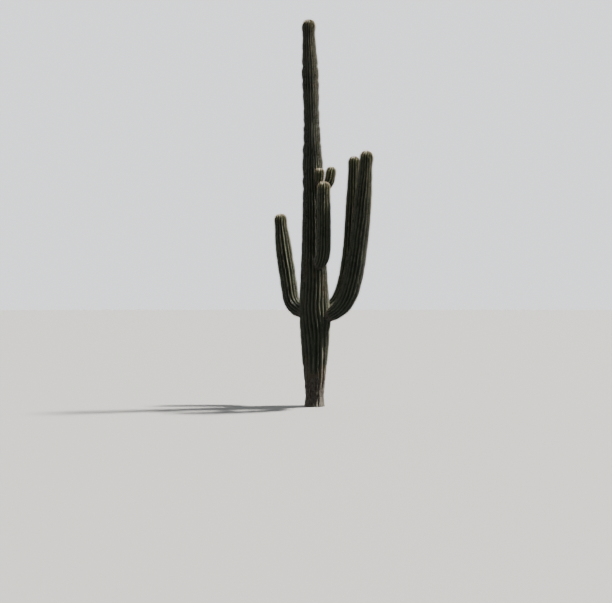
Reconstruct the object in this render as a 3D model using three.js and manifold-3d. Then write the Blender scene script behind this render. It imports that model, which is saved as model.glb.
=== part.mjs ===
// A saguaro cactus rooted in level ground: a ribbed trunk, four arms that bend upright, and two young shoots.
// Millimetres, +Z up. The origin is the middle of the flat cut at ground level, and -Y is the front.
import * as THREE from "three";
import { mergeVertices } from "three/addons/utils/BufferGeometryUtils.js";
import Module from "manifold-3d";

// The trunk
const HEIGHT = 6566;
const TRUNK_RIBS = 24; // round the belly
const TRUNK_DOME = 144; // length of the rounded tip
const BARK_TOP = 900; // the grooves are shallow on the corky foot, and reach their full depth here

// Its girth: height above the ground, and radius over the ridges
const TRUNK_GIRTH = [
  [0, 180], // root flare
  [110, 160], // ankle
  [390, 179],
  [950, 233],
  [1420, 254], // belly, where the arms leave
  [1940, 245],
  [2350, 222],
  [3500, 178],
  [4150, 167],
  [4500, 150],
  [5000, 129],
  [5500, 142], // swelling of a few wet years
  [5900, 132],
  [6280, 103], // neck of a dry year
  [6430, 112],
];

// Its lean: height, and how far its middle stands to the right of the foot
const TRUNK_LEAN = [
  [0, 0],
  [1000, 9],
  [2100, -10],
  [3800, -26],
  [5000, -53],
  [5800, -77],
  [6290, -97],
  [HEIGHT, -96],
];

// Ridges that are one at the foot and fork higher up: index of the left half, and height of the fork
const FORKS = [
  [1, 420],
  [4, 900],
  [7, 560],
  [10, 1250],
  [13, 300],
  [16, 760],
  [19, 1050],
  [22, 480],
];

// Ridges of the belly that run together higher up: index of the left one, and height where they meet
const MERGERS = [
  [2, 3350],
  [8, 4600],
  [17, 3950],
];
const FORK_LENGTH = 600; // height over which a fork opens, or two ridges run together
const FORK_WIDTH = 0.66; // width of each half of a double ridge, as a share of a whole one

// The arms. Reach is measured from the trunk's middle, and heading from +X towards +Y.
// An arm leaves its root rising at an angle above level, bends, and then stands at an angle off plumb.
const ARMS = [
  {
    name: "left_arm",
    heading: 140,
    ribs: 15,
    root: { reach: 90, height: 1523, rise: 21 },
    bend: { reach: 550, height: 1905, lean: 10 },
    tip: { reach: 779, height: 3313, lean: 4 },
    girth: { neck: 96, heel: 134, belly: 142, shoulder: 108 },
  },
  {
    name: "right_front_arm",
    heading: -25,
    ribs: 16,
    root: { reach: 60, height: 1505, rise: 3 },
    bend: { reach: 700, height: 2130, lean: 13 },
    tip: { reach: 952, height: 4262, lean: 5 },
    girth: { neck: 110, heel: 150, belly: 147, shoulder: 110 },
  },
  {
    name: "right_rear_arm",
    heading: 22,
    ribs: 14,
    root: { reach: 55, height: 1575, rise: 15 },
    bend: { reach: 579, height: 2156, lean: 13 },
    tip: { reach: 748, height: 4288, lean: 3 },
    girth: { neck: 100, heel: 125, belly: 127, shoulder: 99 },
  },
  {
    name: "front_arm",
    heading: -70,
    ribs: 14,
    root: { reach: 50, height: 2380, rise: -4 },
    bend: { reach: 470, height: 2690, lean: 2 },
    tip: { reach: 470, height: 3745, lean: -2 },
    girth: { neck: 84, heel: 112, belly: 113, shoulder: 101 },
  },
];

// Young shoots, each short enough to be one piece
const SHOOTS = [
  {
    name: "round_shoot",
    heading: -64,
    ribs: 11,
    root: { reach: 50, height: 3725, rise: 14 },
    tip: { reach: 262, height: 4002, lean: 4 },
    girth: { neck: 40, heel: 49, belly: 80, shoulder: 80 },
  },
  {
    name: "club_shoot",
    heading: 12,
    ribs: 11,
    root: { reach: 40, height: 3640, rise: 16 },
    tip: { reach: 326, height: 4075, lean: 8 },
    girth: { neck: 40, heel: 55, belly: 87, shoulder: 83 },
  },
];

// Where an arm has each girth, as shares of its length
const GIRTH_AT = { neck: 0.07, heel: 0.2, belly: 0.55, upper: 0.76, shoulder: 0.9 };
const UPPER_SHARE = 0.25; // how far the upper arm has narrowed from belly to shoulder
const LIMB_DOME = 1.25; // length of an arm's rounded tip, in shoulder radii
const NECK_BARK = { full: 0.06, gone: 0.25 }; // shares of an arm's length between which its grooves deepen
const PULL = { elbow: 0.42, upright: 0.33, shoot: 0.5 }; // how long a curve's handles are, in chords

// The trunk swells round the root of each arm: how far out, and its reach round the trunk and along it
const COLLAR = { swell: 24, across: 150, along: 170 };

// Ridges and grooves
const RIB_POINTS = 3; // points of the outline for each ridge: one in the groove, two on the shoulders
const RIB_DEPTH = 0.52; // depth of a groove, as a share of the distance between two ridges
const BARK_DEPTH = 0.35; // what is left of that depth on the corky foot and at an arm's neck
const DOME_POWER = 2.5; // 2 makes a tip elliptical, and more makes it blunter

// Spacing of the outlines along each piece, and clearance between pieces
const FLARE_RINGS = [0, 60];
const TRUNK_START = 160;
const TRUNK_STEP = 200;
const UPRIGHT_STEP = 230;
const ELBOW_STEP = 95;
const DOME_RINGS = [1, 0.66, 0.36, 0.15, 0.04]; // shares of a dome's length, counted down from its top
const SEAT_GAP = 0.3;

const BARK = { color: 0x5a5a45, roughness: 0.8, metalness: 0 };
const SKIN = { color: 0x46523a, roughness: 0.62, metalness: 0 };

const wasm = await Module();
wasm.setup();

const { clamp, degToRad, lerp, smoothstep } = THREE.MathUtils;

// A smooth curve through [place, size] stops, read at one place
function through(stops, place) {
  const last = stops.length - 1;
  const at = clamp(place, stops[0][0], stops[last][0]);
  const next = stops.findIndex((stop) => stop[0] > at);
  const from = next < 0 ? last - 1 : next - 1;
  const slope = (k) => {
    const before = stops[Math.max(k - 1, 0)];
    const after = stops[Math.min(k + 1, last)];
    return (after[1] - before[1]) / (after[0] - before[0]);
  };
  const span = stops[from + 1][0] - stops[from][0];
  const t = (at - stops[from][0]) / span;
  return (
    lerp(stops[from][1], stops[from + 1][1], t * t * (3 - 2 * t)) +
    span * slope(from) * t * (1 - t) * (1 - t) -
    span * slope(from + 1) * t * t * (1 - t)
  );
}

// Places from start to end about one step apart, both ends included
function spaced(start, end, step) {
  const count = Math.max(1, Math.round((end - start) / step));
  return Array.from({ length: count + 1 }, (_, k) => lerp(start, end, k / count));
}

// Places from start to just below a rounded tip's very end
function spacedToTip(start, end, step, dome) {
  const shaft = spaced(start, end - dome, step).slice(0, -1);
  return [...shaft, ...DOME_RINGS.map((share) => end - share * dome)];
}

// What is left of the full radius on a rounded tip, at a distance below its end
function domeShare(fromEnd, length) {
  const up = clamp(1 - fromEnd / length, 0, 1);
  return Math.pow(1 - Math.pow(up, DOME_POWER), 1 / DOME_POWER);
}

// The trunk's ridges at a height: where each starts, how wide it is, and how open the groove before it is
function trunkRibs(height) {
  const widths = new Array(TRUNK_RIBS).fill(1);
  const open = new Array(TRUNK_RIBS).fill(1);
  const part = (rib, share) => {
    widths[rib] *= lerp(FORK_WIDTH, 1, share);
    widths[rib + 1] *= lerp(FORK_WIDTH, 1, share);
    open[rib + 1] *= share;
  };
  for (const [rib, forkHeight] of FORKS) {
    part(rib, smoothstep(height, forkHeight, forkHeight + FORK_LENGTH));
  }
  for (const [rib, meetHeight] of MERGERS) {
    part(rib, 1 - smoothstep(height, meetHeight, meetHeight + FORK_LENGTH));
  }
  const turn = (2 * Math.PI) / widths.reduce((sum, width) => sum + width);
  let start = 0;
  return widths.map((width, rib) => {
    const ridge = { start, width: width * turn, open: open[rib] };
    start += ridge.width;
    return ridge;
  });
}

// An arm's ridges, all alike
function evenRibs(count) {
  const width = (2 * Math.PI) / count;
  return Array.from({ length: count }, (_, rib) => ({ start: rib * width, width, open: 1 }));
}

// One outline of a ribbed stem, as [angle, radius] pairs. Ridges are round and grooves are sharp.
function outline(ribs, radius, fade) {
  return ribs.flatMap(({ start, width, open }, rib) =>
    Array.from({ length: RIB_POINTS }, (_, point) => {
      const phase = point / RIB_POINTS;
      const nearest = phase < 0.5 ? open : ribs[(rib + 1) % ribs.length].open;
      const depth = RIB_DEPTH * width * radius * fade * nearest;
      return [start + phase * width, radius - depth * (1 - Math.sin(Math.PI * phase))];
    }),
  );
}

// A closed skin over outlines of points, with a flat start and a flat or pointed end
function skinOver(rings, tip) {
  const count = rings[0].length;
  const middleOf = (ring) => ring.reduce((sum, p) => sum.add(p), new THREE.Vector3()).divideScalar(count);
  const points = [...rings.flat(), middleOf(rings[0]), tip ?? middleOf(rings.at(-1))];
  const startMiddle = points.length - 2;
  const endMiddle = points.length - 1;
  const endRing = (rings.length - 1) * count;
  const index = [];
  for (let k = 0; k < count; k++) {
    const next = (k + 1) % count;
    for (let low = 0; low < endRing; low += count) {
      index.push(low + k, low + next, low + count + next);
      index.push(low + k, low + count + next, low + count + k);
    }
    index.push(next, k, startMiddle);
    index.push(endRing + k, endRing + next, endMiddle);
  }
  return new THREE.BufferGeometry().setFromPoints(points).setIndex(index);
}

// How far the trunk swells at an angle and height, for the arms that leave it near there
function collar(angle, height, radius) {
  return ARMS.reduce((sum, { heading, root }) => {
    const round = Math.acos(Math.cos(angle - degToRad(heading)));
    const across = (round * radius) / COLLAR.across;
    const along = (height - root.height) / COLLAR.along;
    return sum + COLLAR.swell * Math.exp(-across * across - along * along);
  }, 0);
}

function trunkSkin(grow = 0) {
  const heights = [...FLARE_RINGS, ...spacedToTip(TRUNK_START, HEIGHT, TRUNK_STEP, TRUNK_DOME)];
  const rings = heights.map((height) => {
    const radius = through(TRUNK_GIRTH, height) * domeShare(HEIGHT - height, TRUNK_DOME);
    const fade = lerp(BARK_DEPTH, 1, smoothstep(height, 0, BARK_TOP));
    return outline(trunkRibs(height), radius, fade).map(([angle, out]) => {
      const far = out + collar(angle, height, radius) + grow;
      const x = through(TRUNK_LEAN, height) + far * Math.cos(angle);
      return new THREE.Vector3(x, far * Math.sin(angle), height);
    });
  });
  return skinOver(rings, new THREE.Vector3(through(TRUNK_LEAN, HEIGHT), 0, HEIGHT + grow));
}

// The curve that a limb's middle follows: two Beziers for an arm, one for a shoot, in one upright plane
function limbPath({ heading, root, bend, tip }) {
  const turn = degToRad(heading);
  const foot = through(TRUNK_LEAN, root.height);
  const place = (reach, height) =>
    new THREE.Vector3(foot + reach * Math.cos(turn), reach * Math.sin(turn), height);
  const curve = (from, fromRise, to, toRise, pull) => {
    const handle = pull * Math.hypot(to.reach - from.reach, to.height - from.height);
    const aside = (end, rise, length) =>
      place(
        end.reach + length * Math.cos(degToRad(rise)),
        end.height + length * Math.sin(degToRad(rise)),
      );
    return new THREE.CubicBezierCurve3(
      place(from.reach, from.height),
      aside(from, fromRise, handle),
      aside(to, toRise, -handle),
      place(to.reach, to.height),
    );
  };
  const path = new THREE.CurvePath();
  if (bend) {
    path.add(curve(root, root.rise, bend, 90 - bend.lean, PULL.elbow));
    path.add(curve(bend, 90 - bend.lean, tip, 90 - tip.lean, PULL.upright));
  } else {
    path.add(curve(root, root.rise, tip, 90 - tip.lean, PULL.shoot));
  }
  return path;
}

// A limb's radius at a distance from its root: thin at the neck, full above the elbow, narrower near the tip
function limbRadius({ neck, heel, belly, shoulder }, distance, length) {
  const stops = [
    [0, neck],
    [GIRTH_AT.neck * length, neck],
    [GIRTH_AT.heel * length, heel],
    [GIRTH_AT.belly * length, belly],
    [GIRTH_AT.upper * length, lerp(belly, shoulder, UPPER_SHARE)],
    [GIRTH_AT.shoulder * length, shoulder],
    [length, shoulder],
  ];
  return through(stops, distance) * domeShare(length - distance, shoulder * LIMB_DOME);
}

// The skin of a limb from one distance along it to another, or to its tip
function limbSkin(limb, path, step, start, end) {
  const length = path.getLength();
  const turn = degToRad(limb.heading);
  const side = new THREE.Vector3(Math.sin(turn), -Math.cos(turn), 0);
  const places = end
    ? spaced(start, end, step)
    : spacedToTip(start, length, step, limb.girth.shoulder * LIMB_DOME);
  const rings = places.map((distance) => {
    const share = distance / length;
    const middle = path.getPoint(share);
    const across = side.clone().cross(path.getTangent(share));
    const radius = limbRadius(limb.girth, distance, length);
    const fade = lerp(BARK_DEPTH, 1, smoothstep(share, NECK_BARK.full, NECK_BARK.gone));
    return outline(evenRibs(limb.ribs), radius, fade).map(([angle, out]) =>
      middle
        .clone()
        .addScaledVector(across, out * Math.cos(angle))
        .addScaledVector(side, out * Math.sin(angle)),
    );
  });
  return skinOver(rings, end ? undefined : path.getPoint(1));
}

function solidFrom(geometry) {
  const merged = mergeVertices(geometry, 1e-3);
  const vertProperties = merged.attributes.position.array;
  const triVerts = new Uint32Array(merged.index.array);
  return new wasm.Manifold(new wasm.Mesh({ numProp: 3, vertProperties, triVerts }));
}

// What a limb keeps outside the trunk, without the crumbs left in the trunk's grooves
function seated(skin, trunk) {
  const pieces = solidFrom(skin).subtract(trunk).decompose();
  const largest = pieces.reduce((best, piece) => (piece.volume() > best.volume() ? piece : best));
  const { vertProperties, triVerts } = largest.getMesh();
  return new THREE.BufferGeometry()
    .setAttribute("position", new THREE.BufferAttribute(vertProperties, 3))
    .setIndex(new THREE.BufferAttribute(triVerts, 1));
}

function piece(name, geometry, finish) {
  geometry.computeVertexNormals();
  const mesh = new THREE.Mesh(geometry, new THREE.MeshStandardMaterial(finish));
  mesh.name = name;
  return mesh;
}

const saguaro = new THREE.Group();
saguaro.add(piece("trunk", trunkSkin(), BARK));

// The grooves' walls are steep, so growing the trunk outward by two gaps leaves one gap square to them
const trunkSpace = solidFrom(trunkSkin(2 * SEAT_GAP));

for (const arm of ARMS) {
  const path = limbPath(arm);
  const bend = path.getCurveLengths()[0];
  const elbow = limbSkin(arm, path, ELBOW_STEP, 0, bend - SEAT_GAP / 2);
  const upright = limbSkin(arm, path, UPRIGHT_STEP, bend + SEAT_GAP / 2);
  saguaro.add(piece(`${arm.name}_elbow`, seated(elbow, trunkSpace), SKIN));
  saguaro.add(piece(`${arm.name}_upright`, upright, SKIN));
}

for (const shoot of SHOOTS) {
  const skin = limbSkin(shoot, limbPath(shoot), ELBOW_STEP, 0);
  saguaro.add(piece(shoot.name, seated(skin, trunkSpace), SKIN));
}

export default saguaro;
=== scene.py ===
import math

import bmesh
import bpy
import numpy as np
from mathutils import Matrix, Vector


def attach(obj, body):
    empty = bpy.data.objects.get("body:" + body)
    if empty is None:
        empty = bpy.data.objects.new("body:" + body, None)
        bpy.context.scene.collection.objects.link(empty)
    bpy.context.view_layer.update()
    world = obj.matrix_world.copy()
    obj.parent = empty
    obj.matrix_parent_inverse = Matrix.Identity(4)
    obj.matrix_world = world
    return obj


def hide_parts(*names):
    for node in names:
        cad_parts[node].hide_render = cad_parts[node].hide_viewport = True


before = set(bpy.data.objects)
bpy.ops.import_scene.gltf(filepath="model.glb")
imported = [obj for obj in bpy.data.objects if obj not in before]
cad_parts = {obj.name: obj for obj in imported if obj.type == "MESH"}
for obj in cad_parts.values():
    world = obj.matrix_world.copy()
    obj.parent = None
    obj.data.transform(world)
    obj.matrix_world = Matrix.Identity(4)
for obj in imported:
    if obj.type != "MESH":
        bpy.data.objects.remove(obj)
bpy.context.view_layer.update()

# Camera. The plant is seen from standing eye height, some fifteen metres off and a little to the
# left of its foot, nearly level.
EYE = (-0.145, -14.8, 1.717)
EYE_TILT = math.radians(0.23)  # above level
EYE_LENS = 51.2  # for a sensor 36 mm wide
SENSOR = 36
EYE_REACH = 1000  # how far it sees

eye = bpy.data.objects.new("eye", bpy.data.cameras.new("eye"))
eye.data.sensor_width = SENSOR
eye.data.lens = EYE_LENS
eye.data.clip_end = EYE_REACH
eye.location = EYE
eye.rotation_euler = (math.radians(90) + EYE_TILT, 0, 0)
bpy.context.scene.collection.objects.link(eye)
bpy.context.scene.camera = eye

# Studio. A plain pale floor meets a plain pale backdrop, a large dome that shows all round the plant
# but lends it no light. The key lamp stands far off to the right, high and a little behind. A very
# broad soft lamp lights the back, and weak light from all round fills the front.
FLOOR_SIDE = 610
FLOOR_COLOUR = (0.27, 0.27, 0.262, 1)
BACKDROP_RADIUS = 300
BACKDROP_SIDES = 128  # and half as many from top to bottom
BACKDROP_COLOUR = (0.86, 0.88, 0.91, 1)
BACKDROP_GLOW = 1.7
FILL_COLOUR = (0.86, 0.88, 0.91, 1)
FILL_STRENGTH = 0.24
LAMPS = [  # heading is from the right towards the back, and all angles are in degrees
    {"name": "key", "heading": 14, "above": 57, "across": 5, "power": 16, "tint": (1, 0.965, 0.91)},
    {"name": "back", "heading": 105, "above": 35, "across": 100, "power": 1.5, "tint": (0.94, 0.97, 1)},
]


def plain_finish(name, colour, roughness):
    material = bpy.data.materials.new(name)
    material.use_nodes = True
    shader = material.node_tree.nodes["Principled BSDF"]
    shader.inputs["Base Color"].default_value = colour
    shader.inputs["Roughness"].default_value = roughness
    return material


half = FLOOR_SIDE / 2
floor_mesh = bpy.data.meshes.new("floor")
floor_mesh.from_pydata(
    [(-half, -half, 0), (half, -half, 0), (half, half, 0), (-half, half, 0)], [], [(0, 1, 2, 3)]
)
floor_mesh.materials.append(plain_finish("matt studio floor", FLOOR_COLOUR, 0.9))

sphere = bmesh.new()
bmesh.ops.create_uvsphere(
    sphere, u_segments=BACKDROP_SIDES, v_segments=BACKDROP_SIDES // 2, radius=BACKDROP_RADIUS
)
backdrop_mesh = bpy.data.meshes.new("backdrop")
sphere.to_mesh(backdrop_mesh)
sphere.free()
glow = plain_finish("pale backdrop", (0, 0, 0, 1), 1)
glow.node_tree.nodes["Principled BSDF"].inputs["Emission Color"].default_value = BACKDROP_COLOUR
glow.node_tree.nodes["Principled BSDF"].inputs["Emission Strength"].default_value = BACKDROP_GLOW
backdrop_mesh.materials.append(glow)

for mesh in (floor_mesh, backdrop_mesh):
    stand = bpy.data.objects.new(mesh.name, mesh)
    stand.visible_diffuse = False
    stand.visible_glossy = False
    stand.visible_shadow = mesh == floor_mesh
    bpy.context.scene.collection.objects.link(stand)

fill = bpy.data.worlds.new("soft fill")
fill.use_nodes = True
fill.node_tree.nodes["Background"].inputs["Color"].default_value = FILL_COLOUR
fill.node_tree.nodes["Background"].inputs["Strength"].default_value = FILL_STRENGTH
bpy.context.scene.world = fill

for kind in LAMPS:
    lamp = bpy.data.objects.new(kind["name"], bpy.data.lights.new(kind["name"], "SUN"))
    lamp.data.energy = kind["power"]
    lamp.data.angle = math.radians(kind["across"])
    lamp.data.color = kind["tint"]
    turn = math.radians(kind["heading"])
    above = math.radians(kind["above"])
    level = math.cos(above)
    toward = Vector((level * math.cos(turn), level * math.sin(turn), math.sin(above)))
    lamp.rotation_euler = toward.to_track_quat("Z", "Y").to_euler()
    bpy.context.scene.collection.objects.link(lamp)

# The trunk is one fleshy stem, pleated like a concertina so that it can swell after rain. Waxy
# green skin covers wet flesh round a ring of wooden rods. It is rooted in the ground, and the
# skin of its old foot has turned to grey-brown cork.
HEIGHT = 6.566
TRUNK_RIBS = 24  # round the belly
TRUNK_DOME = 0.144  # length of the rounded tip
TRUNK_GIRTH = [  # height above the ground, and radius over the ridges
    (0, 0.180),
    (0.110, 0.160),
    (0.390, 0.179),
    (0.950, 0.233),
    (1.420, 0.254),
    (1.940, 0.245),
    (2.350, 0.222),
    (3.500, 0.178),
    (4.150, 0.167),
    (4.500, 0.150),
    (5.000, 0.129),
    (5.500, 0.142),
    (5.900, 0.132),
    (6.280, 0.103),
    (6.430, 0.112),
]
TRUNK_LEAN = [  # height, and how far the middle stands to the right of the foot
    (0, 0),
    (1.000, 0.009),
    (2.100, -0.010),
    (3.800, -0.026),
    (5.000, -0.053),
    (5.800, -0.077),
    (6.290, -0.097),
    (HEIGHT, -0.096),
]
FORKS = [(1, 0.42), (4, 0.9), (7, 0.56), (10, 1.25), (13, 0.3), (16, 0.76), (19, 1.05), (22, 0.48)]
MERGERS = [(2, 3.35), (8, 4.6), (17, 3.95)]  # left ridge of a pair, and where the two meet
FORK_LENGTH = 0.6  # height over which one ridge becomes two, or two become one
FORK_WIDTH = 0.66  # width of each half of a double ridge, as a share of a whole one


def through(stops, place):
    """A smooth curve through (place, size) stops, read at any places."""
    x, y = np.array(stops, float).T
    slope = np.empty_like(y)
    slope[1:-1] = (y[2:] - y[:-2]) / (x[2:] - x[:-2])
    slope[0] = (y[1] - y[0]) / (x[1] - x[0])
    slope[-1] = (y[-1] - y[-2]) / (x[-1] - x[-2])
    at = np.clip(place, x[0], x[-1])
    k = np.clip(np.searchsorted(x, at, side="right") - 1, 0, len(x) - 2)
    span = x[k + 1] - x[k]
    t = (at - x[k]) / span
    bend = span * (slope[k] * t * (1 - t) ** 2 - slope[k + 1] * t * t * (1 - t))
    return y[k] + (y[k + 1] - y[k]) * t * t * (3 - 2 * t) + bend


def ease(value, low, high):
    """0 below low, 1 above high and smooth between them."""
    t = np.clip((value - low) / (high - low), 0, 1)
    return t * t * (3 - 2 * t)


DOME_POWER = 2.5


def dome_share(from_end, length):
    """What is left of the full radius on a rounded tip, at a distance below its end."""
    up = np.clip(1 - from_end / length, 0, 1)
    return (1 - up**DOME_POWER) ** (1 / DOME_POWER)


SCATTER = (73856093, 19349663, 83492791, 2654435761, 1274126177)  # large numbers that mix up the noise
SCATTER_BITS = 0xFFFFFF


def lumps(points, size, seed):
    """Smooth seeded noise from 0 to 1, with lumps of a size along X, Y and Z."""
    cell = points / np.array(size, float)
    low = np.floor(cell).astype(np.int64)
    t = cell - low
    t = t * t * (3 - 2 * t)
    total = np.zeros(points.shape[:-1])
    for corner in np.ndindex(2, 2, 2):
        x, y, z = np.moveaxis(low + corner, -1, 0)
        mixed = (x * SCATTER[0]) ^ (y * SCATTER[1]) ^ (z * SCATTER[2]) ^ (seed * SCATTER[3])
        mixed = (mixed ^ (mixed >> 13)) * SCATTER[4] & SCATTER_BITS
        share = np.where(corner, t, 1 - t).prod(-1)
        total += share * mixed / SCATTER_BITS
    return total


def trunk_ridges(height):
    """Each ridge's start, width and how open the groove before it is, at an array of heights."""
    widths = np.ones((len(height), TRUNK_RIBS))
    opened = np.ones((len(height), TRUNK_RIBS))
    parted = [(rib, ease(height, fork, fork + FORK_LENGTH)) for rib, fork in FORKS]
    parted += [(rib, 1 - ease(height, meet, meet + FORK_LENGTH)) for rib, meet in MERGERS]
    for rib, share in parted:
        widths[:, rib] *= FORK_WIDTH + (1 - FORK_WIDTH) * share
        widths[:, rib + 1] *= FORK_WIDTH + (1 - FORK_WIDTH) * share
        opened[:, rib + 1] *= share
    widths *= 2 * np.pi / widths.sum(1, keepdims=True)
    return np.cumsum(widths, 1) - widths, widths, opened


AREOLE_GAP = 0.0275  # between two spine cushions on a ridge, which is two rings of the mesh
TIP_GAP = 0.011  # the same, on a growing tip
YOUNG_LENGTH = 0.30  # how far below a tip the cushions are still spreading apart
FINE_STEPS = 6000  # of the line along which the rings are placed


def ring_places(radius_at, start, end):
    """Places along a stem half a cushion's gap apart on the skin, closer over its tip."""
    place = end - (end - start) * np.linspace(1, 0, FINE_STEPS) ** 2
    rise = np.hypot(np.diff(place), np.diff(radius_at(place)))
    middle = (place[1:] + place[:-1]) / 2
    gap = TIP_GAP + (AREOLE_GAP - TIP_GAP) * ease(end - middle, 0, YOUNG_LENGTH)
    rings = np.concatenate([[0], np.cumsum(rise / (gap / 2))])
    return np.interp(np.arange(int(rings[-1])), rings, place)


PHASES = np.array([0, 0.10, 0.23, 0.37, 0.5, 0.63, 0.77, 0.90])  # points across one ridge
CREST = 4  # the one on the ridge's top
RIB_DEPTH = 0.52  # depth of a groove, as a share of the distance between two ridges
RIDGE_ROUND = 0.3  # 1 makes a ridge round, and 0 makes it a sharp wedge
RIDGE_LIFT = 0.0018  # how far a ridge swells under each cushion
HUMP_RISE = 0.0040  # how far a ridge rises and sinks along its top
HUMP_SIZE = (0.05, 0.05, 0.075)
WANDER = [(0.55, 0.30), (0.17, 0.12)]  # length of a ridge's bends, and their share of its width
PINCH_DEPTH = 0.020  # of the girth, where growth stopped for a season
PINCH_LENGTH = 0.035
PINCH_CLEAR = (0.05, 0.15)  # distances below the tip over which they set in
PINCH_GAPS = (0.16, 0.34)
PINCH_PATCH = (0.8, 0.8, 0.3)  # how fast their depth changes round the stem, in radii, and along it
PINCH_SEED = 11
MOST_PINCHES = 40
EVEN_RINGS = 6  # rings of the mesh at each end over which bends and humps set in
SEEDS = 1000  # the noise takes one of so many


def grow_stem(rng, places, end, ridges, radius_at, frame_at, fade_at, swell=None, knobbly=None):
    """The points of a ribbed skin by ring, ridge and phase, and facts about each of them."""
    start, width, opened = ridges
    rings, ribs = start.shape
    ring = np.arange(rings)
    following = np.roll(opened, -1, 1)

    # Neighbouring ridges carry their cushions at different heights, so each is slid along a little
    slide = rng.uniform(-1, 1, ribs)
    before = (slide + np.roll(slide, 1)) / 2
    after = np.roll(before, -1)
    toward = ease(PHASES, 0, 0.5) - ease(PHASES, 0.5, 1)
    side = np.where(PHASES < 0.5, before[:, None], after[:, None])
    slid = side + (slide[:, None] - side) * toward
    held = np.clip(np.minimum(ring, rings - 1 - ring) / EVEN_RINGS, 0, 1)
    index = ring[:, None, None] + slid * held[:, None, None]
    along = np.interp(index, ring, places)

    pinches = np.cumsum(rng.uniform(*PINCH_GAPS, MOST_PINCHES)) + places[0]
    pinch = np.exp(-(((along[..., None] - pinches) / PINCH_LENGTH) ** 2)).max(-1)
    angle = start[..., None] + PHASES * width[..., None]
    pinch *= 2 * lumps(np.stack([np.cos(angle), np.sin(angle), along], -1), PINCH_PATCH, PINCH_SEED)
    pinch *= ease(end - along, *PINCH_CLEAR)
    uneven = knobbly(along) if knobbly else 1
    radius = radius_at(along) * (1 - PINCH_DEPTH * uneven * pinch)

    # A ridge is a wedge with a rounded top, and a groove is sharp. Below a fork, or above the place
    # where two ridges have run together, the two share one top.
    merged_left = 1 - following[..., None]
    merged_right = 1 - opened[..., None]
    alone = np.sin(np.pi * PHASES)
    top = alone * (1 - merged_left - merged_right)
    top += np.sin(np.pi * PHASES / 2) * merged_left
    top += np.sin(np.pi * (PHASES + 1) / 2) * merged_right
    depth = RIB_DEPTH * width[..., None] * radius * fade_at(along)
    shape = RIDGE_ROUND * top + (1 - RIDGE_ROUND) * np.arcsin(np.clip(top, 0, 1)) * 2 / np.pi
    out = radius - depth * (1 - shape)
    beaded = np.where(ring % 2 == 0, 1, -1)[:, None, None] * held[:, None, None]
    out += RIDGE_LIFT * beaded * top**4

    around = np.stack([np.cos(angle) * radius, np.sin(angle) * radius, along], -1)
    humps = lumps(around, HUMP_SIZE, int(rng.integers(SEEDS))) - 0.5
    out += 2 * HUMP_RISE * uneven * humps * top**2 * held[:, None, None]
    for size, share in WANDER:
        drift = lumps(around, (size / 2, size / 2, size), int(rng.integers(SEEDS))) - 0.5
        angle = angle + 2 * share * drift * width[..., None] * held[:, None, None]
    if swell:
        out += swell(angle, along, radius)
    middle, across, aside = frame_at(along)
    points = middle + out[..., None] * (
        across * np.cos(angle)[..., None] + aside * np.sin(angle)[..., None]
    )
    return points, middle, along, top


def joined_mesh(name, points, *groups):
    """A mesh of points and of groups of faces, each an array with one face to a row."""
    mesh = bpy.data.meshes.new(name)
    mesh.vertices.add(len(points))
    mesh.vertices.foreach_set("co", np.ascontiguousarray(points, np.float32).ravel())
    corners = np.concatenate([group.ravel() for group in groups])
    sizes = np.concatenate([np.full(len(group), group.shape[1]) for group in groups])
    mesh.loops.add(len(corners))
    mesh.loops.foreach_set("vertex_index", corners.astype(np.int32))
    mesh.polygons.add(len(sizes))
    mesh.polygons.foreach_set("loop_start", (np.cumsum(sizes) - sizes).astype(np.int32))
    mesh.update(calc_edges=True)
    return mesh


def skin_mesh(name, points, tip, facts):
    """A closed mesh over rings of points, from a flat start to a tip."""
    rings = len(points)
    flat = points.reshape(rings, -1, 3)
    count = flat.shape[1]
    ends = np.array([flat[0].mean(0), tip])
    ring, k = np.meshgrid(np.arange(rings - 1), np.arange(count), indexing="ij")
    low = ring * count
    beside = (k + 1) % count
    walls = np.stack([low + k, low + beside, low + count + beside, low + count + k], -1)
    k = np.arange(count)
    beside = (k + 1) % count
    last = (rings - 1) * count
    foot = np.stack([beside, k, np.full(count, rings * count)], -1)
    top = np.stack([last + k, last + beside, np.full(count, rings * count + 1)], -1)
    corners = np.concatenate([flat.reshape(-1, 3), ends])
    mesh = joined_mesh(name, corners, walls.reshape(-1, 4), foot, top)
    for fact, values in facts.items():
        flat_values = values.reshape(rings, count)
        ends = [flat_values[0].mean(), flat_values[-1].mean()]
        attribute = mesh.attributes.new(fact, "FLOAT", "POINT")
        attribute.data.foreach_set("value", np.append(flat_values.ravel(), ends).astype(np.float32))
    mesh.shade_smooth()
    return mesh


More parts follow.
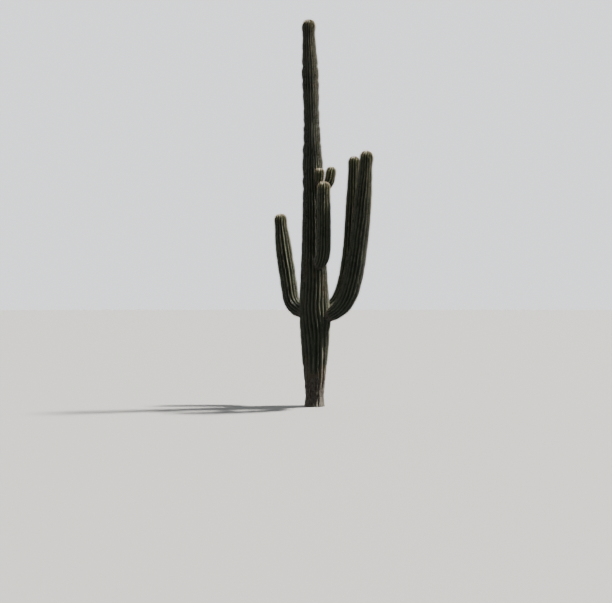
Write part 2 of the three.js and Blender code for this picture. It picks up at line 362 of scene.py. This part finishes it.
class Wire:
    """A node's output. Sums, differences and products on it add Math nodes."""

    def __init__(self, tree, socket):
        self.tree = tree
        self.socket = socket

    def node(self, kind, settings, sockets, out=0):
        """Adds a node, with its settings set first and then its sockets' values or wires."""
        made = self.tree.nodes.new(kind)
        for name, value in settings.items():
            setattr(made, name, value)
        for name, value in sockets.items():
            if isinstance(value, Wire):
                self.tree.links.new(value.socket, made.inputs[name])
            else:
                made.inputs[name].default_value = value
        return Wire(self.tree, made.outputs[out])

    def maths(self, operation, first, second):
        return self.node("ShaderNodeMath", {"operation": operation}, {0: first, 1: second})

    def __add__(self, other):
        return self.maths("ADD", self, other)

    __radd__ = __add__

    def __sub__(self, other):
        return self.maths("SUBTRACT", self, other)

    def __rsub__(self, other):
        return self.maths("SUBTRACT", other, self)

    def __mul__(self, other):
        return self.maths("MULTIPLY", self, other)

    __rmul__ = __mul__

    def __abs__(self):
        return self.maths("ABSOLUTE", self, 0)

    def larger(self, other):
        return self.maths("MAXIMUM", self, other)

    def between(self, low, high):
        """0 below low, 1 above high and smooth between them."""
        sockets = {"Value": self, "From Min": low, "From Max": high}
        return self.node("ShaderNodeMapRange", {"interpolation_type": "SMOOTHSTEP"}, sockets)

    def stretched(self, x, y, z):
        """Places scaled along each axis, so that noise read there is drawn out along it."""
        return self.node("ShaderNodeMapping", {}, {"Vector": self, "Scale": (x, y, z)})

    def mix(self, none, full):
        """A colour between two others, by this wire's share."""
        return self.node("ShaderNodeMix", {"data_type": "RGBA"}, {0: self, 6: none, 7: full}, out=2)

    def grain(self, scale, detail, **more):
        """Noise at places on the surface."""
        sockets = {"Vector": self, "Scale": scale, "Detail": detail, **more}
        return self.node("ShaderNodeTexNoise", {}, sockets)


OLIVE_SPOTS = (0.150, 0.155, 0.088, 1)
YOUNG_GREEN = (0.105, 0.140, 0.054, 1)
GROOVE_PAINTED_SHADE = (0.018, 0.025, 0.013, 1)
WORN_RIDGE = (0.230, 0.218, 0.150, 1)
PALE_FLECKS = (0.24, 0.24, 0.17, 1)
CORK_STAIN = (0.150, 0.122, 0.062, 1)
BROWN_BARK = (0.100, 0.080, 0.058, 1)
PALE_BARK = (0.225, 0.198, 0.155, 1)
GREY_BARK = (0.155, 0.145, 0.122, 1)
WORN_BARK = (0.310, 0.290, 0.245, 1)
BARK_CRACKS = (0.030, 0.024, 0.018, 1)
TIP_WOOL = (0.22, 0.185, 0.12, 1)


def cactus_skin(name, deep, pale):
    """Waxy skin: painted shade darkens the grooves, paler on the ridges, corky where it is old, woolly
    at a tip.
    """
    material = bpy.data.materials.new(name)
    material.use_nodes = True
    tree = material.node_tree
    shader = tree.nodes["Principled BSDF"]
    place = Wire(tree, tree.nodes.new("ShaderNodeTexCoord").outputs["Object"])
    ridge, cork, young = (
        place.node("ShaderNodeAttribute", {"attribute_name": fact}, {}, out="Fac")
        for fact in ("ridge", "cork", "young")
    )
    tall = place.stretched(1, 1, 0.2)
    cloudy = place.grain(3.1, 5)
    mottled = place.grain(34, 4)
    streaks = tall.grain(46, 5)
    flecks = place.grain(210, 2)
    wrinkles = place.stretched(0.35, 0.35, 1.9).grain(70, 3)

    green = cloudy.between(0.35, 0.65).mix(deep, pale)
    green = (mottled.between(0.5, 0.72) * 0.45).mix(green, OLIVE_SPOTS)
    green = (young * 0.7).mix(green, YOUNG_GREEN)
    # painted shade: the grooves are darkened towards near black, standing in for the shade that falls
    # in them
    green = ((1 - ridge).between(0.25, 0.9) * 0.85).mix(green, GROOVE_PAINTED_SHADE)
    green = (ridge.between(0.86, 1) * streaks.between(0.30, 0.55) * 0.75).mix(green, WORN_RIDGE)
    green = (flecks.between(0.66, 0.74) * 0.5).mix(green, PALE_FLECKS)
    green = (cork.between(0.02, 0.55) * 0.75).mix(green, CORK_STAIN)

    fissures = 1 - abs(tall.grain(30, 4, Distortion=0.6) - 0.5).between(0.004, 0.040)
    breaks = 1 - abs(place.stretched(0.7, 0.7, 1.5).grain(26, 4) - 0.5).between(0.002, 0.022)
    cracked = fissures.larger(breaks * streaks.between(0.40, 0.62))
    bark = streaks.between(0.3, 0.7).mix(BROWN_BARK, PALE_BARK)
    bark = (cloudy.between(0.45, 0.62) * 0.5).mix(bark, GREY_BARK)
    bark = (mottled.between(0.48, 0.7) * 0.55).mix(bark, WORN_BARK)
    bark = (cracked * 0.85).mix(bark, BARK_CRACKS)
    corky = (cork + (mottled - 0.5) * 0.8 + (streaks - 0.5) * 0.5).between(0.34, 0.66)
    colour = corky.mix(green, bark)
    colour = (young.between(0.86, 1) * 0.6).mix(colour, TIP_WOOL)
    tree.links.new(colour.socket, shader.inputs["Base Color"])

    waxy = 0.44 + mottled.between(0.3, 0.7) * 0.16 + (1 - ridge) * 0.12
    rough = waxy + corky * 0.3
    tree.links.new(rough.socket, shader.inputs["Roughness"])

    height = mottled * 0.0012 + flecks * 0.0004 + wrinkles * 0.0010
    height = height + (streaks * 0.005 + mottled * 0.003 - cracked * 0.004) * corky
    bump = place.node("ShaderNodeBump", {}, {"Height": height, "Strength": 0.9, "Distance": 1.0})
    tree.links.new(bump.socket, shader.inputs["Normal"])
    return material


def trunk_radius(height):
    return through(TRUNK_GIRTH, height) * dome_share(HEIGHT - height, TRUNK_DOME)


def trunk_frame(height):
    """The trunk's middle, and the directions that its angles are measured from and towards."""
    middle = np.stack([through(TRUNK_LEAN, height), np.zeros_like(height), height], -1)
    return middle, np.array([1.0, 0, 0]), np.array([0, 1.0, 0])


COLLAR = {"swell": 0.024, "across": 0.150, "along": 0.170}
ARM_ROOTS = [(140, 1.523), (-25, 1.505), (22, 1.575), (-70, 2.380)]  # heading and height


def collar(angle, height, radius):
    """How far the trunk swells, for the arms that leave it near there."""
    total = 0
    for heading, root in ARM_ROOTS:
        turned = np.arccos(np.cos(angle - math.radians(heading)))
        across = turned * radius / COLLAR["across"]
        along = (height - root) / COLLAR["along"]
        total = total + COLLAR["swell"] * np.exp(-(across**2) - along**2)
    return total


def outward(points, middle):
    return (points - middle) / np.linalg.norm(points - middle, axis=-1, keepdims=True)


UNEVEN = 0.0030  # how far the flesh rises and sinks
UNEVEN_SIZE = (0.11, 0.11, 0.16)
UNEVEN_CLEAR = (0.02, 0.12)  # distances below the tip over which that sets in
FLAT_FOOT = 0.02  # the skin is plain below this
CORK_ROUGH = 0.0050  # how far the cork rises and sinks
CORK_GRAIN = (0.016, 0.016, 0.055)


def skin_facts(points, middle, along, end, top, cork, seed):
    """Roughens a stem's skin, and gives the facts that its colours read."""
    out = outward(points, middle)
    uneven = lumps(points, UNEVEN_SIZE, seed) - 0.5
    bark = lumps(points, CORK_GRAIN, seed + 1) - 0.5
    lift = UNEVEN * 2 * uneven * ease(end - along, *UNEVEN_CLEAR) + CORK_ROUGH * 2 * bark * cork
    lift *= ease(along, 0, FLAT_FOOT)
    young = 1 - ease(end - along, 0, YOUNG_LENGTH)
    return points + out * lift[..., None], {"ridge": top, "cork": cork, "young": young}


CROWDING = [(0.018, 6), (0.045, 2)]  # nearer the tip's middle than this, one cushion in so many grows
CORK_SHEDS = (0.25, 0.75)  # a cushion is shed where the cork passes its own limit between these
cushions = {}  # of each stem: where its spine cushions sit and how they face


def keep_cushions(stem, rng, points, middle, along, end, cork, kept):
    """Notes a stem's cushions, on every second ring of each ridge. Cork sheds some of them."""
    rows = slice(2, len(points) - 1, 2)
    place = points[rows]
    up = points[3::2][: len(place)] - points[1:-1:2][: len(place)]
    up /= np.linalg.norm(up, axis=-1, keepdims=True)
    out = outward(place, middle[rows])
    out -= up * (out * up).sum(-1, keepdims=True)
    out /= np.linalg.norm(out, axis=-1, keepdims=True)
    reach = np.linalg.norm(place - middle[rows], axis=-1)
    crowd = np.select([reach < near for near, _ in CROWDING], [share for _, share in CROWDING], 1)
    kept = kept[rows] & (np.cumsum(kept[rows], 1) % crowd == 0)
    kept &= cork[rows] < rng.uniform(*CORK_SHEDS, kept.shape)
    cushions[stem] = {
        "place": place[kept],
        "up": up[kept],
        "out": out[kept],
        "age": (end - along[rows])[kept],
    }


BARK_DEPTH = 0.35  # what is left of the grooves' depth on the corky foot and necks
BARK_TOP = 0.9  # height at which the grooves reach their full depth
KNOBBLY = 1.8  # how much more uneven the trunk's upper half is
KNOBBLY_FROM = (3.0, 4.2)  # heights over which that sets in
KNOBBLY_UNTIL = (5.95, 6.2)  # and ends
CORK_EDGE = (0.18, 0.82)  # heights over which the foot's cork gives way to green skin
CORK_PATCH = (0.14, 0.14, 0.22)
CORK_STRAY = 0.55  # how far that edge strays up and down
SCAR_SHARE = (0.74, 0.86)  # of the same patches, the highest are old scars
SCAR_EDGE = (1.4, 3.0)  # heights over which the scars fade away
SCAR_CORK = 0.8
TRUNK_SEED, PATCH_SEED, SKIN_SEED = 7, 31, 3
TRUNK_GREENS = (0.038, 0.052, 0.027, 1), (0.078, 0.095, 0.052, 1)

rng = np.random.default_rng(TRUNK_SEED)
heights = ring_places(trunk_radius, 0, HEIGHT)
ridges = trunk_ridges(heights)
points, middle, along, top = grow_stem(
    rng,
    heights,
    HEIGHT,
    ridges,
    trunk_radius,
    trunk_frame,
    lambda height: BARK_DEPTH + (1 - BARK_DEPTH) * ease(height, 0, BARK_TOP),
    collar,
    lambda height: 1 + KNOBBLY * ease(height, *KNOBBLY_FROM) * (1 - ease(height, *KNOBBLY_UNTIL)),
)
patches = lumps(points, CORK_PATCH, PATCH_SEED)
cork = 1 - ease(along + (patches - 0.5) * CORK_STRAY, *CORK_EDGE)
scars = ease(patches, *SCAR_SHARE) * (1 - ease(along, *SCAR_EDGE)) * SCAR_CORK
cork = np.maximum(cork, scars)
points, facts = skin_facts(points, middle, along, HEIGHT, top, cork, SKIN_SEED)
crest = points[:, :, CREST].copy()
kept = np.ones(crest.shape[:2], bool)
for rib, _ in FORKS + MERGERS:
    merged = ridges[2][:, rib + 1] < 0.5
    crest[merged, rib] = points[merged, rib + 1, 0]
    kept[merged, rib + 1] = False
keep_cushions(
    "trunk", rng, crest, middle[:, :, CREST], along[:, :, CREST], HEIGHT, cork[:, :, CREST], kept
)

trunk_tip = (through(TRUNK_LEAN, HEIGHT), 0, HEIGHT)
trunk = bpy.data.objects.new("trunk_skin", skin_mesh("trunk_skin", points, trunk_tip, facts))
trunk.data.materials.append(cactus_skin("waxy trunk skin with a corky foot", *TRUNK_GREENS))
bpy.context.scene.collection.objects.link(trunk)
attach(trunk, "root")
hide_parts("trunk")

# The four arms are branches of the same flesh. Each starts as a bud on the trunk's belly, joined by
# a narrow corky neck with a ring of rods inside, sags out under its weight and then grows upright.
ARMS = [
    {
        "name": "left_arm",
        "heading": 140,
        "ribs": 15,
        "root": (0.090, 1.523, 21),  # reach from the trunk's middle, height, degrees above level
        "bend": (0.550, 1.905, 10),  # reach, height, degrees off plumb
        "tip": (0.779, 3.313, 4),
        "girth": (0.096, 0.134, 0.142, 0.108),  # neck, heel, belly, shoulder
    },
    {
        "name": "right_front_arm",
        "heading": -25,
        "ribs": 16,
        "root": (0.060, 1.505, 3),
        "bend": (0.700, 2.130, 13),
        "tip": (0.952, 4.262, 5),
        "girth": (0.110, 0.150, 0.147, 0.110),
    },
    {
        "name": "right_rear_arm",
        "heading": 22,
        "ribs": 14,
        "root": (0.055, 1.575, 15),
        "bend": (0.579, 2.156, 13),
        "tip": (0.748, 4.288, 3),
        "girth": (0.100, 0.125, 0.127, 0.099),
    },
    {
        "name": "front_arm",
        "heading": -70,
        "ribs": 14,
        "root": (0.050, 2.380, -4),
        "bend": (0.470, 2.690, 2),
        "tip": (0.470, 3.745, -2),
        "girth": (0.084, 0.112, 0.113, 0.101),
    },
]
PULL = {"elbow": 0.42, "upright": 0.33, "shoot": 0.5}  # length of a curve's handles, as a share
CURVE_POINTS = 400
GIRTH_PLACES = (0, 0.07, 0.20, 0.55, 0.76, 0.90, 1)  # shares of an arm's length that a girth is set at
UPPER_SHARE = 0.25  # how far the girth between belly and shoulder has gone towards the shoulder's
LIMB_DOME = 1.25  # length of the rounded tip, in shoulder radii
HIDDEN_ROOT = 0.045  # how deep an arm's mesh starts inside the trunk
NECK_GROOVES = (0.06, 0.25)  # shares of the length over which the grooves reach their full depth
NECK_CORK = 0.13  # how far the cork reaches along the neck
NECK_STRAY = 0.16
NECK_PATCH = (0.08, 0.08, 0.12)
NECK_BALD = 0.04  # no cushions grow nearer the trunk than this
ARM_SEED, SEED_STEP = 100, 10
ARM_GREENS = (0.037, 0.054, 0.026, 1), (0.075, 0.099, 0.050, 1)


def bezier(start, start_rise, end, end_rise, pull):
    """Points along a curve in the limb's upright plane, as reach and height."""
    a, d = np.array(start[:2]), np.array(end[:2])
    handle = pull * np.linalg.norm(d - a)
    turn = np.radians([start_rise, end_rise])
    b = a + handle * np.array([np.cos(turn[0]), np.sin(turn[0])])
    c = d - handle * np.array([np.cos(turn[1]), np.sin(turn[1])])
    t = np.linspace(0, 1, CURVE_POINTS)[:, None]
    return (1 - t) ** 3 * a + 3 * (1 - t) ** 2 * t * b + 3 * (1 - t) * t * t * c + t**3 * d


def limb_line(limb):
    """The line that a limb's middle follows, in its upright plane."""
    root, tip = limb["root"], limb["tip"]
    if "bend" not in limb:
        return bezier(root, root[2], tip, 90 - tip[2], PULL["shoot"])
    bend = limb["bend"]
    elbow = bezier(root, root[2], bend, 90 - bend[2], PULL["elbow"])
    upright = bezier(bend, 90 - bend[2], tip, 90 - tip[2], PULL["upright"])
    return np.concatenate([elbow, upright[1:]])


def grow_limb(limb, seed, finish):
    """Makes a limb's skin, notes its cushions and sets the skin on the plant where its solids stand."""
    line = limb_line(limb)
    length = np.concatenate([[0], np.cumsum(np.linalg.norm(np.diff(line, axis=0), axis=1))])
    end = length[-1]
    slope = np.gradient(line, length, axis=0)
    slope /= np.linalg.norm(slope, axis=1, keepdims=True)
    turn = math.radians(limb["heading"])
    ahead = np.array([math.cos(turn), math.sin(turn), 0])
    aside = np.array([math.sin(turn), -math.cos(turn), 0])
    foot = np.array([through(TRUNK_LEAN, limb["root"][1]), 0, 0])
    neck, heel, belly, shoulder = limb["girth"]
    upper = belly + (shoulder - belly) * UPPER_SHARE
    girths = (neck, neck, heel, belly, upper, shoulder, shoulder)
    stops = [(share * end, girth) for share, girth in zip(GIRTH_PLACES, girths)]

    def radius_at(place):
        return through(stops, place) * dome_share(end - place, shoulder * LIMB_DOME)

    def frame_at(place):
        reach = np.interp(place, length, line[:, 0])[..., None]
        height = np.interp(place, length, line[:, 1])[..., None]
        forward = np.interp(place, length, slope[:, 0])[..., None]
        upward = np.interp(place, length, slope[:, 1])[..., None]
        up = np.array([0, 0, 1.0])
        return foot + ahead * reach + up * height, up * forward - ahead * upward, aside

    rng = np.random.default_rng(seed)
    start = trunk_radius(np.array(limb["root"][1])) - limb["root"][0] - HIDDEN_ROOT
    places = ring_places(radius_at, start, end)
    ribs = limb["ribs"]
    width = np.full((len(places), ribs), 2 * np.pi / ribs)
    ridges = np.cumsum(width, 1) - width, width, np.ones_like(width)
    points, middle, along, top = grow_stem(
        rng,
        places,
        end,
        ridges,
        radius_at,
        frame_at,
        lambda place: BARK_DEPTH + (1 - BARK_DEPTH) * ease(place / end, *NECK_GROOVES),
    )
    patches = lumps(points, NECK_PATCH, seed)
    bare = start + HIDDEN_ROOT
    cork = 1 - ease(along - bare + (patches - 0.5) * NECK_STRAY, 0, NECK_CORK)
    points, facts = skin_facts(points, middle, along, end, top, cork, seed)
    crest = points[:, :, CREST]
    kept = along[:, :, CREST] > bare + NECK_BALD
    keep_cushions(
        limb["name"], rng, crest, middle[:, :, CREST], along[:, :, CREST], end, cork[:, :, CREST], kept
    )
    tip = frame_at(np.array(end))[0]
    name = limb["name"] + "_skin"
    skin = bpy.data.objects.new(name, skin_mesh(name, points, tip, facts))
    skin.data.materials.append(finish)
    bpy.context.scene.collection.objects.link(skin)
    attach(skin, "root")
    return skin


arm_finish = cactus_skin("waxy arm skin", *ARM_GREENS)
for number, arm in enumerate(ARMS):
    skin = grow_limb(arm, ARM_SEED + number * SEED_STEP, arm_finish)
    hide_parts(arm["name"] + "_elbow", arm["name"] + "_upright")

# The two shoots are arms in their first years, one still round and one club-shaped. Their skin is
# fresher and their spines stand close together.
SHOOTS = [
    {
        "name": "round_shoot",
        "heading": -64,
        "ribs": 11,
        "root": (0.050, 3.725, 14),
        "tip": (0.262, 4.002, 4),
        "girth": (0.040, 0.049, 0.080, 0.080),
    },
    {
        "name": "club_shoot",
        "heading": 12,
        "ribs": 11,
        "root": (0.040, 3.640, 16),
        "tip": (0.326, 4.075, 8),
        "girth": (0.040, 0.055, 0.087, 0.083),
    },
]
SHOOT_SEED = 200
SHOOT_GREENS = (0.044, 0.066, 0.029, 1), (0.086, 0.115, 0.054, 1)

shoot_finish = cactus_skin("fresh shoot skin", *SHOOT_GREENS)
for number, shoot in enumerate(SHOOTS):
    skin = grow_limb(shoot, SHOOT_SEED + number * SEED_STEP, shoot_finish)
    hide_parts(shoot["name"])

# Every ridge carries a row of areoles, small cushions of felt that the spines grow from. They are
# tan and woolly on the tips, and grey and worn further down.
CUSHION_SIDES = 6
CUSHION_HALF = (0.0050, 0.0038)  # along the ridge and across it
CUSHION_RISE = 0.0034
CUSHION_SUNK = 0.0015
CUSHION_SIZES = (0.85, 1.2)
BUD_LENGTH = 0.08  # nearer a tip than this, cushions are still small
BUD_LESS = 0.25
FELT_AGES = (0.12, 1.6)  # distances below a tip where the next felt takes over
AGE_STRAY = (0.6, 1.6)  # a spray ages between so much slower and faster
FELT_ROUGH = 0.95
FELTS = [
    ("tan felt", (0.27, 0.225, 0.15, 1)),
    ("grey felt", (0.27, 0.25, 0.20, 1)),
    ("worn felt", (0.11, 0.097, 0.080, 1)),
]


def ageing(rng, age, ends):
    """Which of several colours each spray takes: the first on a tip, the next ones further down."""
    return (age[:, None] * rng.uniform(*AGE_STRAY, (len(age), 1)) > np.array(ends)).sum(1)


def repeated(faces, points_each, count):
    """The faces of one small thing, repeated for each copy of it."""
    return (faces + np.arange(count)[:, None, None] * points_each).reshape(-1, faces.shape[1])


def coat(name, mesh, finishes, chosen, faces_each):
    """Gives each copy in a joined mesh its own plain colour, and sets the piece on the plant."""
    for finish in finishes:
        mesh.materials.append(finish)
    mesh.polygons.foreach_set("material_index", np.repeat(chosen, faces_each).astype(np.int32))
    thing = bpy.data.objects.new(name, mesh)
    bpy.context.scene.collection.objects.link(thing)
    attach(thing, "root")


felts = [plain_finish(name, colour, FELT_ROUGH) for name, colour in FELTS]
turns = np.arange(CUSHION_SIDES) * 2 * np.pi / CUSHION_SIDES
rim = np.arange(CUSHION_SIDES)
around = (rim + 1) % CUSHION_SIDES
cushion_faces = np.concatenate(
    [
        np.stack([rim, around, np.full(CUSHION_SIDES, CUSHION_SIDES)], -1),
        np.stack([around, rim, np.full(CUSHION_SIDES, CUSHION_SIDES + 1)], -1),
    ]
)
for stem, at in cushions.items():
    rng = np.random.default_rng(len(stem))
    beside = np.cross(at["up"], at["out"])
    size = rng.uniform(*CUSHION_SIZES, len(at["age"])) * (1 - BUD_LESS * (at["age"] < BUD_LENGTH))
    size = size[:, None, None]
    edge = at["up"][:, None] * (np.cos(turns) * CUSHION_HALF[0])[:, None]
    edge = edge + beside[:, None] * (np.sin(turns) * CUSHION_HALF[1])[:, None]
    edge = at["place"][:, None] + edge * size - at["out"][:, None] * CUSHION_SUNK
    tops = at["place"][:, None] + at["out"][:, None] * CUSHION_RISE * size
    under = at["place"][:, None] - at["out"][:, None] * CUSHION_SUNK * 2
    points = np.concatenate([edge, tops, under], 1)
    faces = repeated(cushion_faces, CUSHION_SIDES + 2, len(points))
    mesh = joined_mesh(stem + "_areoles", points.reshape(-1, 3), faces)
    mesh.shade_smooth()
    coat(stem + "_areoles", mesh, felts, ageing(rng, at["age"], FELT_AGES), len(cushion_faces))

# The spines are stiff needles of horn that grow in a spray from each cushion: a ring of short ones
# that lie along the skin, and a few long ones that stand out. They are straw-coloured on the tips
# and weather to ash grey, and a few stay dark.
RADIALS = 9
CENTRALS = 4
RADIAL_LENGTH = (0.011, 0.018)
CENTRAL_LENGTH = (0.024, 0.038)
SPINE_WIDTH = 0.0008  # radius of a spine's root
SPINE_ROOT = 0.0022  # from a cushion's middle to a spine's
SPINE_TURN = 0.3  # how far each spine may stand from its place round the cushion, in radians
SPRAY_TURN = 0.7  # and each whole spray
RADIAL_RISE = (0.25, 0.75)  # angle above the skin
CENTRAL_RISE = (0.75, 1.35)
YOUNG_RISE = 0.4  # how far a young spray has drawn together, as a brush
YOUNG_SPRAY = (0.02, 0.25)  # distances below a tip over which it opens
SHORT_AT_TIP = (0.35, 0.12)  # how much shorter the youngest are, and how far down that reaches
SHORT_WITH_AGE = (0.35, 2.2, 5.0)  # the same for the worn ones further down, from where to where
HORN_AGES = (0.16, 1.1)  # distances below a tip where the next colour takes over
HORN_ROUGH = 0.5
DARK_SHARE = 0.12
DARK_HORN = 3  # its place in the list below
HORNS = [
    ("golden horn", (0.40, 0.325, 0.20, 1)),
    ("straw horn", (0.42, 0.37, 0.27, 1)),
    ("ash grey horn", (0.36, 0.345, 0.31, 1)),
    ("dark horn", (0.085, 0.062, 0.045, 1)),
]
MOST_FACES = 190_000  # of one joined piece
SPINE_SEED = 1000

horns = [plain_finish(name, colour, HORN_ROUGH) for name, colour in HORNS]
spine_faces = np.array([[0, 1, 3], [1, 2, 3], [2, 0, 3], [0, 2, 1]])
corner = np.arange(3) * 2 * np.pi / 3


def spray_points(rng, at):
    """The points of every spine of a stem's sprays, by spray, spine and corner."""
    count = len(at["age"])
    spines = RADIALS + CENTRALS
    beside = np.cross(at["up"], at["out"])
    radial = np.arange(spines) < RADIALS
    each = (count, spines)
    turn = np.arange(spines) * 2 * np.pi / np.where(radial, RADIALS, CENTRALS)
    turn = turn + rng.uniform(-SPINE_TURN, SPINE_TURN, each) + rng.uniform(0, SPRAY_TURN, (count, 1))
    rise = np.where(radial, rng.uniform(*RADIAL_RISE, each), rng.uniform(*CENTRAL_RISE, each))
    young = 1 - ease(at["age"], *YOUNG_SPRAY)[:, None]
    rise = rise + (CENTRAL_RISE[1] - rise) * YOUNG_RISE * young
    long = np.where(radial, rng.uniform(*RADIAL_LENGTH, each), rng.uniform(*CENTRAL_LENGTH, each))
    worn = SHORT_WITH_AGE[0] * ease(at["age"], *SHORT_WITH_AGE[1:])
    small = SHORT_AT_TIP[0] * (1 - ease(at["age"], 0, SHORT_AT_TIP[1]))
    long = long * (1 - worn - small)[:, None]
    level = np.cos(rise)[..., None]
    flat = at["up"][:, None] * np.cos(turn)[..., None] + beside[:, None] * np.sin(turn)[..., None]
    lean = flat * level + at["out"][:, None] * np.sin(rise)[..., None]
    root = at["place"][:, None] + flat * SPINE_ROOT
    first = np.cross(lean, at["up"][:, None])
    first /= np.linalg.norm(first, axis=-1, keepdims=True)
    second = np.cross(lean, first)
    ring = first[:, :, None] * np.cos(corner)[:, None] + second[:, :, None] * np.sin(corner)[:, None]
    base = root[:, :, None] + ring * SPINE_WIDTH
    tip = root + lean * long[..., None]
    return np.concatenate([base, tip[:, :, None]], 2)


for stem, at in cushions.items():
    rng = np.random.default_rng(SPINE_SEED + len(stem))
    order = np.argsort(at["age"], kind="stable")
    at = {fact: values[order] for fact, values in at.items()}
    points = spray_points(rng, at)
    chosen = ageing(rng, at["age"], HORN_AGES)
    chosen[rng.random(len(chosen)) < DARK_SHARE] = DARK_HORN
    spines = points.shape[1]
    parts = math.ceil(len(points) * spines * len(spine_faces) / MOST_FACES)
    for part, some in enumerate(np.array_split(np.arange(len(points)), parts)):
        name = stem + "_spines" + ("" if parts == 1 else f"_{part + 1}")
        copies = len(some) * spines
        mesh = joined_mesh(name, points[some].reshape(-1, 3), repeated(spine_faces, 4, copies))
        coat(name, mesh, horns, np.repeat(chosen[some], spines), len(spine_faces))
